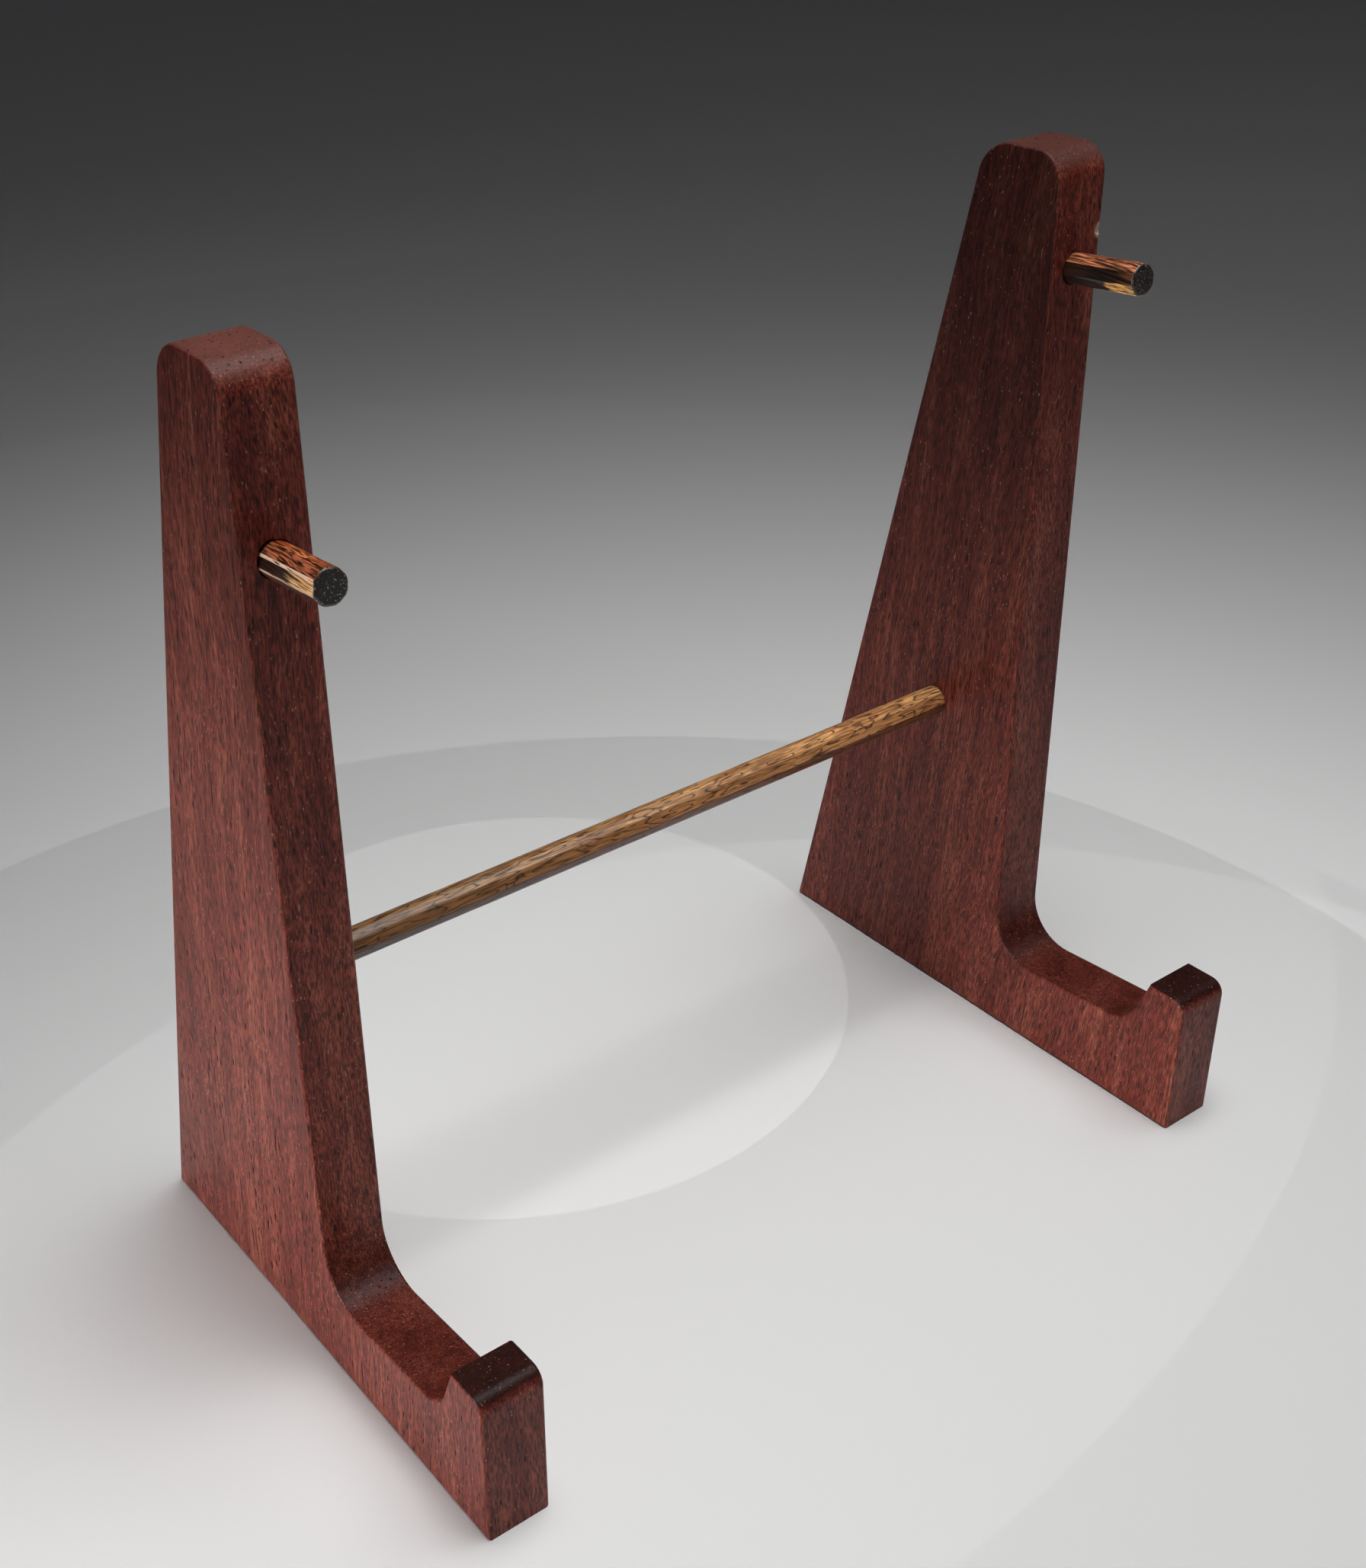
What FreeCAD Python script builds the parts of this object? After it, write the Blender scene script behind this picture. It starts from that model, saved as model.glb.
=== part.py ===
import FreeCAD, Part
import os

import Sketcher

# Dip pen holder: two L-shaped wooden uprights, a dowel that ties them together, and a short
# peg in the front edge of each. Pens lie across the pegs, or across the troughs in the feet.
#
# Millimetres. X runs from the left upright to the right one, the pegs point towards -Y and Z
# is up. The origin is on the table, at the middle of the stand's own box.

# Driving sizes. Places along an upright are measured forward from its heel, the lower back
# corner, and up from the table.
SIZES = {
    # the board that both uprights are cut from
    "board_thickness": 10.6,
    "foot_length": 100.0,        # heel to toe, along the table
    "upright_height": 165.8,
    "crown_setback": 44.9,       # heel to the back corner of the crown
    "crown_width": 16.2,
    "crown_back_radius": 7.0,
    "crown_front_radius": 4.6,
    # foot: the front edge runs down into a trough, closed by a lip
    "instep_setback": 56.6,
    "instep_height": 14.9,
    "instep_radius": 8.2,
    "trough_rise": 2.4,          # the trough's floor climbs this much towards the lip
    "lip_root_width": 11.0,
    "lip_root_radius": 6.6,
    "lip_top_width": 7.8,
    "lip_height": 27.8,
    "lip_overhang": 1.2,         # how far the lip's front leans out past the toe
    "lip_nose_radius": 2.5,
    "arris_radius": 0.5,         # sanded edges along both broad faces
    # dowel stock, and the glue line around it
    "dowel_diameter": 5.2,
    "dowel_end_ease": 0.5,
    "glue_line": 0.05,
    # crossbar
    "clear_span": 133.5,         # between the inner faces of the uprights
    "bar_setback": 38.4,
    "bar_height": 62.0,
    "bar_socket_depth": 6.0,
    # pegs
    "peg_reach": 14.2,           # how far a peg stands out of the front edge
    "peg_tilt": 4.5,             # degrees up from level, so that a pen doesn't roll off
    "peg_socket_depth": 12.0,
    "left_peg_drop": 26.9,       # crown down to where the peg leaves the wood
    "right_peg_drop": 18.9,
}

doc = FreeCAD.newDocument("pen_holder")
sheet = doc.addObject("Spreadsheet::Sheet", "sizes")
for row, (alias, value) in enumerate(SIZES.items(), start=1):
    sheet.set(f"A{row}", alias)
    sheet.set(f"B{row}", str(value))
    sheet.setAlias(f"B{row}", alias)
doc.recompute()


# Formulas on the sizes that more than one piece uses.
CROWN_FRONT = "(sizes.crown_setback + sizes.crown_width)"
# The lip's front leans out, so its rounded nose reaches further forward than the toe.
LIP_SLANT = "sqrt(sizes.lip_height ^ 2 + sizes.lip_overhang ^ 2)"
NOSE_GAIN = (
    "(sizes.lip_overhang * (sizes.lip_height - sizes.lip_nose_radius)"
    f" - sizes.lip_nose_radius * ({LIP_SLANT} - sizes.lip_height)) / sizes.lip_height"
)
HEEL_Y = f"(sizes.foot_length + {NOSE_GAIN}) / 2"
SOCKET_DIAMETER = "sizes.dowel_diameter + 2 * sizes.glue_line"
PEG_ANGLE = "sizes.peg_tilt * 1 deg"

START_VALUE = 1.0        # of a dimension, before its formula is set
SAME_DIRECTION = 0.999   # cosine from which a direction counts as along an axis
SAME_PLACE = 0.01        # mm
LEAST_CUT = 1.0          # mm3; a hole that takes out less has missed the wood


def sheet_value(formula):
    """The formula's present value, to draw a sketch near its final shape."""
    return float(sheet.evalExpression(formula))


def peg_height(peg_drop):
    """Height at which a peg's axis leaves the front edge."""
    return f"(sizes.upright_height - sizes.{peg_drop})"


def front_edge(height):
    """Distance from the heel to the sloped front edge, at a height above the instep."""
    run = f"({CROWN_FRONT} - sizes.instep_setback)"
    rise = "(sizes.upright_height - sizes.instep_height)"
    return f"(sizes.instep_setback + {run} / {rise} * ({height} - sizes.instep_height))"


def origin_plane(body, role):
    return next(plane for plane in body.Origin.OriginFeatures if plane.Role == role)


def new_sketch(body, name, role, offset=None):
    """An empty sketch on one of the body's own planes, shifted along its local axes."""
    sketch = body.newObject("Sketcher::SketchObject", name)
    sketch.AttachmentSupport = [(origin_plane(body, role), "")]
    sketch.MapMode = "FlatFace"
    for axis, formula in (offset or {}).items():
        sketch.setExpression(f"AttachmentOffset.Base.{axis}", formula)
    return sketch


def size_constraint(sketch, kind, geometry, formula):
    """A dimension of the sketch that follows the sheet."""
    index = sketch.addConstraint(Sketcher.Constraint(kind, *geometry, START_VALUE))
    sketch.setExpression(f"Constraints[{index}]", formula)


def draw_circle(sketch, diameter):
    """A circle about the sketch's own origin."""
    start = Part.Circle(FreeCAD.Vector(), FreeCAD.Vector(0, 0, 1), sheet_value(diameter) / 2)
    circle = sketch.addGeometry(start, False)
    sketch.addConstraint(Sketcher.Constraint("Coincident", circle, 3, -1, 1))
    size_constraint(sketch, "Diameter", (circle,), diameter)


def draw_outline(sketch, corners):
    """A closed outline of straight lines; each corner is (forward, up) from the heel.

    The sketch's own x runs to the back, so forward is minus x.
    """
    points = [
        FreeCAD.Vector(-sheet_value(forward), sheet_value(up), 0)
        for forward, up in corners
    ]
    lines = [
        sketch.addGeometry(Part.LineSegment(start, end), False)
        for start, end in zip(points, points[1:] + points[:1])
    ]
    for line, following in zip(lines, lines[1:] + lines[:1]):
        sketch.addConstraint(Sketcher.Constraint("Coincident", line, 2, following, 1))
    sketch.addConstraint(Sketcher.Constraint("Coincident", lines[0], 1, -1, 1))
    for line, (forward, up) in list(zip(lines, corners))[1:]:
        size_constraint(sketch, "DistanceX", (line, 1, -1, 1), forward)
        if up == "0":
            sketch.addConstraint(Sketcher.Constraint("PointOnObject", line, 1, -1))
        else:
            size_constraint(sketch, "DistanceY", (-1, 1, line, 1), up)


def cross_edge(shape, forward, up):
    """Name of the edge that runs across the board through a corner of its outline."""
    for number, edge in enumerate(shape.Edges, start=1):
        start, end = edge.Vertexes[0].Point, edge.Vertexes[-1].Point
        runs_across = abs((end - start).normalize().x) > SAME_DIRECTION
        off = max(abs(start.y + forward), abs(start.z - up))
        if runs_across and off < SAME_PLACE:
            return f"Edge{number}"
    raise ValueError(f"no cross edge at {forward}, {up}")


def broad_faces(shape):
    """Names of the two flat faces that look along X."""
    names = []
    for number, face in enumerate(shape.Faces, start=1):
        flat = isinstance(face.Surface, Part.Plane)
        if flat and abs(face.normalAt(0, 0).x) > SAME_DIRECTION:
            names.append(f"Face{number}")
    return names


def drill(body, name, sketch, depth, forwards=False):
    """A blind hole from the sketch into the wood behind it, or in front of it."""
    before = body.Shape.Volume
    hole = body.newObject("PartDesign::Pocket", name)
    hole.Profile = sketch
    hole.setExpression("Length", depth)
    hole.Reversed = forwards
    doc.recompute()
    if hole.Shape.Volume > before - LEAST_CUT:
        raise ValueError(f"{name} cuts nothing")


def make_upright(label, side, peg_drop):
    """One L-shaped board. side is -1 on the left and 1 on the right.

    The body's own origin is on the heel's inner arris, so the board's thickness lies on the
    outer side of it.
    """
    body = doc.addObject("PartDesign::Body", label)
    body.Label = label

    corners = {
        "heel": ("0", "0"),
        "crown_back": ("sizes.crown_setback", "sizes.upright_height"),
        "crown_front": (CROWN_FRONT, "sizes.upright_height"),
        "instep": ("sizes.instep_setback", "sizes.instep_height"),
        "lip_root": (
            "sizes.foot_length - sizes.lip_root_width",
            "sizes.instep_height + sizes.trough_rise",
        ),
        "lip_back": (
            "sizes.foot_length + sizes.lip_overhang - sizes.lip_top_width",
            "sizes.lip_height",
        ),
        "lip_nose": ("sizes.foot_length + sizes.lip_overhang", "sizes.lip_height"),
        "toe": ("sizes.foot_length", "0"),
    }
    outline = new_sketch(body, f"{label}_outline", "YZ_Plane")
    draw_outline(outline, list(corners.values()))
    board = body.newObject("PartDesign::Pad", f"{label}_board")
    board.Profile = outline
    board.setExpression("Length", "sizes.board_thickness")
    board.Reversed = side < 0
    doc.recompute()

    # rounded corners of the outline, each with its own radius
    rounds = {
        "crown_back": "crown_back_radius",
        "crown_front": "crown_front_radius",
        "instep": "instep_radius",
        "lip_root": "lip_root_radius",
        "lip_nose": "lip_nose_radius",
    }
    shaped = board
    for corner, radius in rounds.items():
        forward, up = (sheet_value(formula) for formula in corners[corner])
        rounding = body.newObject("PartDesign::Fillet", f"{label}_{corner}_round")
        rounding.Base = (shaped, [cross_edge(shaped.Shape, forward, up)])
        rounding.setExpression("Radius", f"sizes.{radius}")
        doc.recompute()
        shaped = rounding

    arris = body.newObject("PartDesign::Fillet", f"{label}_arris")
    arris.Base = (shaped, broad_faces(shaped.Shape))
    arris.setExpression("Radius", "sizes.arris_radius")
    doc.recompute()

    # blind socket for the crossbar, in the inner face
    bar_socket = new_sketch(
        body,
        f"{label}_bar_socket_sketch",
        "YZ_Plane",
        {"x": "-sizes.bar_setback", "y": "sizes.bar_height"},
    )
    draw_circle(bar_socket, SOCKET_DIAMETER)
    drill(body, f"{label}_bar_socket", bar_socket, "sizes.bar_socket_depth", forwards=side > 0)

    # blind socket for the peg, drilled square to the tilted peg from just outside the wood
    height = peg_height(peg_drop)
    run_in = "sizes.dowel_diameter / 2"
    peg_socket = new_sketch(
        body,
        f"{label}_peg_socket_sketch",
        "XZ_Plane",
        {
            "x": f"{side} * sizes.board_thickness / 2",
            "y": f"{height} + {run_in} * sin({PEG_ANGLE})",
            "z": f"{front_edge(height)} + {run_in} * cos({PEG_ANGLE})",
        },
    )
    peg_socket.AttachmentOffset = FreeCAD.Placement(
        peg_socket.AttachmentOffset.Base, FreeCAD.Rotation(FreeCAD.Vector(-1, 0, 0), 1)
    )
    peg_socket.setExpression("AttachmentOffset.Rotation.Angle", PEG_ANGLE)
    draw_circle(peg_socket, SOCKET_DIAMETER)
    drill(body, f"{label}_peg_socket", peg_socket, f"sizes.peg_socket_depth + {run_in}")

    body.setExpression("Placement.Base.x", f"{side} * sizes.clear_span / 2")
    body.setExpression("Placement.Base.y", HEEL_Y)
    return body


def make_crossbar():
    """The tie between the uprights, glued into a blind socket at each end."""
    body = doc.addObject("PartDesign::Body", "crossbar")
    body.Label = "crossbar"
    section = new_sketch(body, "crossbar_section", "YZ_Plane")
    draw_circle(section, "sizes.dowel_diameter")
    bar = body.newObject("PartDesign::Pad", "crossbar_length")
    bar.Profile = section
    bar.Midplane = True
    bar.setExpression("Length", "sizes.clear_span + 2 * sizes.bar_socket_depth")
    doc.recompute()
    ends = [f"Edge{number}" for number, edge in enumerate(bar.Shape.Edges, start=1) if edge.Closed]
    eased = body.newObject("PartDesign::Chamfer", "crossbar_ends")
    eased.Base = (bar, ends)
    eased.setExpression("Size", "sizes.dowel_end_ease")

    body.setExpression("Placement.Base.y", f"{HEEL_Y} - sizes.bar_setback")
    body.setExpression("Placement.Base.z", "sizes.bar_height")
    return body


def make_peg(label, side, peg_drop):
    """A short dowel; its own origin is where its axis leaves the front edge of the upright."""
    body = doc.addObject("PartDesign::Body", label)
    body.Label = label
    section = new_sketch(body, f"{label}_section", "XZ_Plane", {"z": "-sizes.peg_socket_depth"})
    draw_circle(section, "sizes.dowel_diameter")
    dowel = body.newObject("PartDesign::Pad", f"{label}_length")
    dowel.Profile = section
    dowel.setExpression("Length", "sizes.peg_socket_depth + sizes.peg_reach")
    doc.recompute()
    ends = [f"Edge{number}" for number, edge in enumerate(dowel.Shape.Edges, start=1) if edge.Closed]
    eased = body.newObject("PartDesign::Fillet", f"{label}_ends")
    eased.Base = (dowel, ends)
    eased.setExpression("Radius", "sizes.dowel_end_ease")

    height = peg_height(peg_drop)
    body.Placement = FreeCAD.Placement(
        FreeCAD.Vector(), FreeCAD.Rotation(FreeCAD.Vector(-1, 0, 0), 1)
    )
    body.setExpression("Placement.Rotation.Angle", PEG_ANGLE)
    body.setExpression("Placement.Base.x", f"{side} * (sizes.clear_span + sizes.board_thickness) / 2")
    body.setExpression("Placement.Base.y", f"{HEEL_Y} - {front_edge(height)}")
    body.setExpression("Placement.Base.z", height)
    return body


pieces = [
    make_upright("left_upright", -1, "left_peg_drop"),
    make_upright("right_upright", 1, "right_peg_drop"),
    make_crossbar(),
    make_peg("left_peg", -1, "left_peg_drop"),
    make_peg("right_peg", 1, "right_peg_drop"),
]
doc.recompute()

# nothing is written unless every object is sound
for item in doc.Objects:
    if "Invalid" in item.State or "Error" in item.State:
        raise ValueError(f"{item.Name} failed: {item.State}")
for piece in pieces:
    if piece.Shape.isNull() or not piece.Shape.isValid() or len(piece.Shape.Solids) != 1:
        raise ValueError(f"{piece.Label} has no sound solid")

os.makedirs("parts", exist_ok=True)
for piece in pieces:
    piece.Shape.exportStep(f"parts/{piece.Label}.step")
    box = piece.Shape.optimalBoundingBox()
    print(
        f"{piece.Label}: x {box.XMin:.2f} to {box.XMax:.2f}, y {box.YMin:.2f} to {box.YMax:.2f},"
        f" z {box.ZMin:.2f} to {box.ZMax:.2f}, volume {piece.Shape.Volume:.1f}"
    )
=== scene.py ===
import math
import random

import bmesh
import bpy
from mathutils import Matrix, Vector


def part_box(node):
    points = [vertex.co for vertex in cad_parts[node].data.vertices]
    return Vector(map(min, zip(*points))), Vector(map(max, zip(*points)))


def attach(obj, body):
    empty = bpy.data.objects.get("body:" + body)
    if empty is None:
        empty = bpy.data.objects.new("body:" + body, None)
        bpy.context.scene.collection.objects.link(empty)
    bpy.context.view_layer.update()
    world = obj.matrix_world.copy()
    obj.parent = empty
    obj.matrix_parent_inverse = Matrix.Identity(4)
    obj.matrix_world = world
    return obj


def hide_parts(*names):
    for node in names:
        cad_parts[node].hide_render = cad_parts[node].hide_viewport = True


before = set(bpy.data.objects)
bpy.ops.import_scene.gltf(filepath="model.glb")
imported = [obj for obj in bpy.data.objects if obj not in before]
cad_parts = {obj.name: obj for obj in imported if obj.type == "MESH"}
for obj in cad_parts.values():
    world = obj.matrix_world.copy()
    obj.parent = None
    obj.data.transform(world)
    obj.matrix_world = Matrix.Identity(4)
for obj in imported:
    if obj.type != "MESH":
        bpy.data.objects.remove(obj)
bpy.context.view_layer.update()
mm = 0.001
sides = ("left", "right")

closeBy = 1 * mm                     # limits for picking by place and by direction
samePlace = 0.1 * mm
roughlyAlong = 0.9
exactlyAlong = 0.99


# working with the mesh by hand

def deselectAll():
    if bpy.context.mode != "OBJECT":
        bpy.ops.object.mode_set(mode="OBJECT")
    bpy.ops.object.select_all(action="DESELECT")


def workOn(piece):
    deselectAll()
    piece.select_set(True)
    bpy.context.view_layer.objects.active = piece


def startEdit(piece):
    workOn(piece)
    bpy.ops.object.mode_set(mode="EDIT")
    bpy.ops.mesh.select_all(action="DESELECT")


def endEdit():
    bpy.ops.object.mode_set(mode="OBJECT")


def pick(piece, kind, test):
    # selects the verts, edges or faces that pass the test, and nothing else
    bpy.ops.mesh.select_all(action="DESELECT")
    bpy.ops.mesh.select_mode(type=kind)
    mesh = bmesh.from_edit_mesh(piece.data)
    mesh.normal_update()
    found = [item for item in {"VERT": mesh.verts, "EDGE": mesh.edges, "FACE": mesh.faces}[kind]
             if test(item)]
    for item in found:
        item.select_set(True)
    mesh.select_flush_mode()
    bmesh.update_edit_mesh(piece.data)
    if not found:
        raise ValueError(f"{piece.name}: nothing picked")
    return found


def midpoint(edge):
    return (edge.verts[0].co + edge.verts[1].co) / 2


def edgeWay(edge):
    return (edge.verts[1].co - edge.verts[0].co).normalized()


def bevelPicked(offset, segments):
    bpy.ops.mesh.bevel(offset_type="OFFSET", offset=offset, segments=segments, profile=0.5,
                       affect="EDGES", clamp_overlap=False)


def shift(*offset):
    bpy.ops.transform.translate(value=offset)


def applyPlace(piece):
    workOn(piece)
    bpy.ops.object.transform_apply(location=True, rotation=True, scale=True)


def applyModifiers(piece):
    workOn(piece)
    for name in [modifier.name for modifier in piece.modifiers]:
        bpy.ops.object.modifier_apply(modifier=name)


def shadeSmooth(piece, angle):
    # corners rounder than the angle shade smoothly, and flat faces stay flat
    workOn(piece)
    bpy.ops.object.shade_smooth_by_angle(angle=angle)
    even = piece.modifiers.new("even", "WEIGHTED_NORMAL")
    even.keep_sharp = True
    applyModifiers(piece)


def rename(piece, name):
    piece.name = name
    piece.data.name = name


# uprights

upright = {
    "crownSetback": 44.9 * mm,       # from the heel forward
    "crownWidth": 16.2 * mm,
    "crownBackRadius": 7.0 * mm,
    "crownFrontRadius": 4.6 * mm,
    "instepSetback": 56.6 * mm,
    "instepHeight": 14.9 * mm,
    "instepRadius": 8.2 * mm,
    "footLength": 100.0 * mm,
    "troughRise": 2.4 * mm,
    "lipRootWidth": 11.0 * mm,
    "lipRootRadius": 6.6 * mm,
    "lipTopWidth": 7.8 * mm,
    "lipHeight": 27.8 * mm,
    "lipOverhang": 1.2 * mm,
    "lipNoseRadius": 2.5 * mm,
    "cornerSegments": 12,
    "arris": 0.5 * mm,
    "arrisSegments": 3,
    "holeSides": 56,
    "pegHoleGap": 0.06 * mm,         # how much wider than the rod, on the radius
    "pegHoleDepth": 12 * mm,
    "barHoleGap": 0.04 * mm,
    "barHoleDepth": 6 * mm,
    "holeEase": 0.15 * mm,
    "holeEaseSegments": 2,
    "chipAbovePeg": 5.3 * mm,        # a small chip out of the right board's outer arris
    "chipSize": (1.45 * mm, 0.5 * mm, 0.95 * mm),
    "tearAngle": math.radians(30),   # torn grain beside the left peg, left of its top
    "tearSize": (1.25 * mm, 0.9 * mm, 0.42 * mm),
    "chipUneven": 0.1 * mm,
    "chipSeed": 3,
    "smoothAngle": math.radians(32),
}

rod = {
    "radius": 2.6 * mm,
    "flats": 8,                      # faint flats left by the plane
    "flatDepth": 0.06 * mm,
    "softRidge": 0.66 * mm,
    "softSegments": 7,
    "crispRidge": 0.30 * mm,
    "crispSegments": 3,
    "crispCorners": (3, 4),          # two ridges stay crisp
    "uneven": 0.035 * mm,
    "whittleStep": 5.0 * mm,
    "pegReach": 14.2 * mm,
    "pegTilt": math.radians(4.5),
    "pegSunk": 9.0 * mm,
    "pegDrop": {"left": 26.9 * mm, "right": 18.9 * mm},
    "pegRim": 0.48 * mm,
    "rimSegments": 5,
    "pegTurn": math.radians(13.5),
    "barSetback": 38.4 * mm,
    "barHeight": 62.0 * mm,
    "barSunk": 5.0 * mm,
    "barTurn": math.radians(2.5),
    "smoothAngle": math.radians(60),
    "seeds": {"left": 5, "right": 8, "bar": 11},
}


def frontEdge(height):
    # how far forward of the heel the sloped front edge is at a height
    top = upright["crownSetback"] + upright["crownWidth"]
    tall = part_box("left_upright")[1].z
    share = (height - upright["instepHeight"]) / (tall - upright["instepHeight"])
    return upright["instepSetback"] + share * (top - upright["instepSetback"])


def pegExit(side):
    # where a peg's axis leaves the front edge
    low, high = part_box(f"{side}_upright")
    height = high.z - rod["pegDrop"][side]
    return Vector(((low.x + high.x) / 2, high.y - frontEdge(height), height))


def pegDirection():
    return Vector((0, -math.cos(rod["pegTilt"]), math.sin(rod["pegTilt"])))


def roundCorner(piece, forward, up, radius, heel):
    # one corner of the outline gets its radius, right across the board
    corner = Vector((0, heel - forward, up))

    def onCorner(edge):
        middle = midpoint(edge)
        away = Vector((0, middle.y, middle.z)) - corner
        return abs(edgeWay(edge).x) > exactlyAlong and away.length < samePlace

    mesh = bmesh.from_edit_mesh(piece.data)      # the picked edges last as long as this does
    edges = pick(piece, "EDGE", onCorner)
    reach = radius * math.tan(edges[0].calc_face_angle() / 2)
    bevelPicked(reach, upright["cornerSegments"])


def subtract(piece, tool):
    workOn(piece)
    cut = piece.modifiers.new("cut", "BOOLEAN")
    cut.operation = "DIFFERENCE"
    cut.solver = "EXACT"
    cut.object = tool
    bpy.ops.object.modifier_apply(modifier=cut.name)
    bpy.data.objects.remove(tool)


def drill(piece, start, direction, radius, depth):
    # a round hole from just outside the wood
    clearance = 2 * mm
    middle = start + direction * (depth - clearance) / 2
    deselectAll()
    bpy.ops.mesh.primitive_cylinder_add(vertices=upright["holeSides"], radius=radius,
                                        depth=depth + clearance, location=middle)
    bit = bpy.context.active_object
    bit.rotation_euler = direction.to_track_quat("Z", "Y").to_euler()
    applyPlace(bit)
    subtract(piece, bit)


def easeHole(piece, start, direction, radius):
    # breaks the sharp rim of a hole
    sharp, offRim, offMouth = math.radians(40), 0.06 * mm, 1.5 * mm

    def onRim(edge):
        if len(edge.link_faces) != 2 or edge.calc_face_angle() < sharp:
            return False
        away = midpoint(edge) - start
        alongAxis = away.dot(direction)
        outward = (away - direction * alongAxis).length
        return abs(outward - radius) < offRim and abs(alongAxis) < offMouth

    startEdit(piece)
    pick(piece, "EDGE", onRim)
    bevelPicked(upright["holeEase"], upright["holeEaseSegments"])
    endEdit()


def chipPlace():
    # on the outer front arris of the right board, a little above its peg
    low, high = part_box("right_upright")
    height = pegExit("right").z + upright["chipAbovePeg"]
    return Vector((high.x, high.y - frontEdge(height), height))


def chipOut(piece, place, size, turn=0.0):
    # breaks a small uneven hollow out of the wood
    deselectAll()
    bpy.ops.mesh.primitive_ico_sphere_add(subdivisions=3, radius=1, location=place,
                                          rotation=(0, turn, 0), scale=size)
    chip = bpy.context.active_object
    applyPlace(chip)
    startEdit(chip)
    bpy.ops.mesh.select_all(action="SELECT")
    bpy.ops.transform.vertex_random(offset=upright["chipUneven"], seed=upright["chipSeed"])
    endEdit()
    subtract(piece, chip)


def tearPlace():
    # where the grain tore beside the left peg
    angle = upright["tearAngle"]
    return pegExit("left") + Vector((-math.sin(angle), 0, math.cos(angle))) * rod["radius"]


def makeUpright(side):
    low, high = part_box(f"{side}_upright")
    heel = high.y
    thick = high.x - low.x
    tall = high.z
    u = upright
    crownFront = u["crownSetback"] + u["crownWidth"]
    legFoot = frontEdge(0)

    # the leg starts as a block, then its top is drawn in to the crown
    deselectAll()
    bpy.ops.mesh.primitive_cube_add(
        size=1, location=((low.x + high.x) / 2, heel - legFoot / 2, tall / 2),
        scale=(thick, legFoot, tall))
    board = bpy.context.active_object
    applyPlace(board)
    startEdit(board)
    nearTop = tall - closeBy
    pick(board, "VERT", lambda v: v.co.z > nearTop and v.co.y > heel - closeBy)
    shift(0, -u["crownSetback"], 0)
    pick(board, "VERT", lambda v: v.co.z > nearTop and v.co.y < heel - legFoot + closeBy)
    shift(0, legFoot - crownFront, 0)

    # the foot is pulled out of the front of the leg, and the lip out of the foot's end
    bpy.ops.mesh.select_all(action="SELECT")
    bpy.ops.mesh.bisect(plane_co=(0, 0, u["instepHeight"]), plane_no=(0, 0, 1))
    pick(board, "FACE", lambda f: f.normal.y < -roughlyAlong
         and f.calc_center_median().z < u["instepHeight"])
    lipRoot = u["footLength"] - u["lipRootWidth"]
    bpy.ops.mesh.extrude_region_move(
        TRANSFORM_OT_translate={"value": (0, -(lipRoot - u["instepSetback"]), 0)})
    pick(board, "VERT", lambda v: v.co.y < heel - lipRoot + 2 * closeBy and v.co.z < closeBy)
    bottomY = min(v.co.y for v in bmesh.from_edit_mesh(board.data).verts if v.co.z < closeBy)
    shift(0, heel - lipRoot - bottomY, 0)
    pick(board, "FACE", lambda f: f.normal.y < -roughlyAlong
         and f.calc_center_median().y < heel - lipRoot + closeBy)
    bpy.ops.mesh.extrude_region_move(
        TRANSFORM_OT_translate={"value": (0, -u["lipRootWidth"], 0)})
    pick(board, "VERT", lambda v: v.co.y < heel - lipRoot + closeBy and v.co.z > closeBy)
    shift(0, 0, u["troughRise"])
    rootHeight = u["instepHeight"] + u["troughRise"]
    pick(board, "VERT", lambda v: v.co.y < heel - u["footLength"] + closeBy and v.co.z > closeBy)
    shift(0, -u["lipOverhang"] * rootHeight / u["lipHeight"], 0)
    pick(board, "FACE", lambda f: f.normal.z > roughlyAlong
         and f.calc_center_median().y < heel - lipRoot - closeBy)
    bpy.ops.mesh.extrude_region_move(
        TRANSFORM_OT_translate={"value": (0, 0, u["lipHeight"] - rootHeight)})
    lipFront = heel - u["footLength"] - u["lipOverhang"]
    pick(board, "VERT", lambda v: abs(v.co.z - u["lipHeight"]) < closeBy
         and v.co.y < heel - u["footLength"] + closeBy)
    frontY = next(v.co.y for v in bmesh.from_edit_mesh(board.data).verts if v.select)
    shift(0, lipFront - frontY, 0)
    pick(board, "VERT", lambda v: abs(v.co.z - u["lipHeight"]) < closeBy
         and heel - lipRoot - closeBy < v.co.y < heel - lipRoot + closeBy)
    shift(0, lipFront + u["lipTopWidth"] - (heel - lipRoot), 0)

    # flat faces lose their seams, then the outline's corners are rounded
    bpy.ops.mesh.select_all(action="SELECT")
    flatWithin = math.radians(0.5)
    bpy.ops.mesh.dissolve_limited(angle_limit=flatWithin)
    roundCorner(board, u["crownSetback"], tall, u["crownBackRadius"], heel)
    roundCorner(board, crownFront, tall, u["crownFrontRadius"], heel)
    roundCorner(board, u["instepSetback"], u["instepHeight"], u["instepRadius"], heel)
    roundCorner(board, lipRoot, rootHeight, u["lipRootRadius"], heel)
    roundCorner(board, u["footLength"] + u["lipOverhang"], u["lipHeight"],
                u["lipNoseRadius"], heel)

    # sanded arrises along both broad faces
    pick(board, "EDGE", lambda e: max(abs(f.normal.x) for f in e.link_faces) > exactlyAlong
         and min(abs(f.normal.x) for f in e.link_faces) < 1 - exactlyAlong)
    bevelPicked(u["arris"], u["arrisSegments"])
    endEdit()

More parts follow.
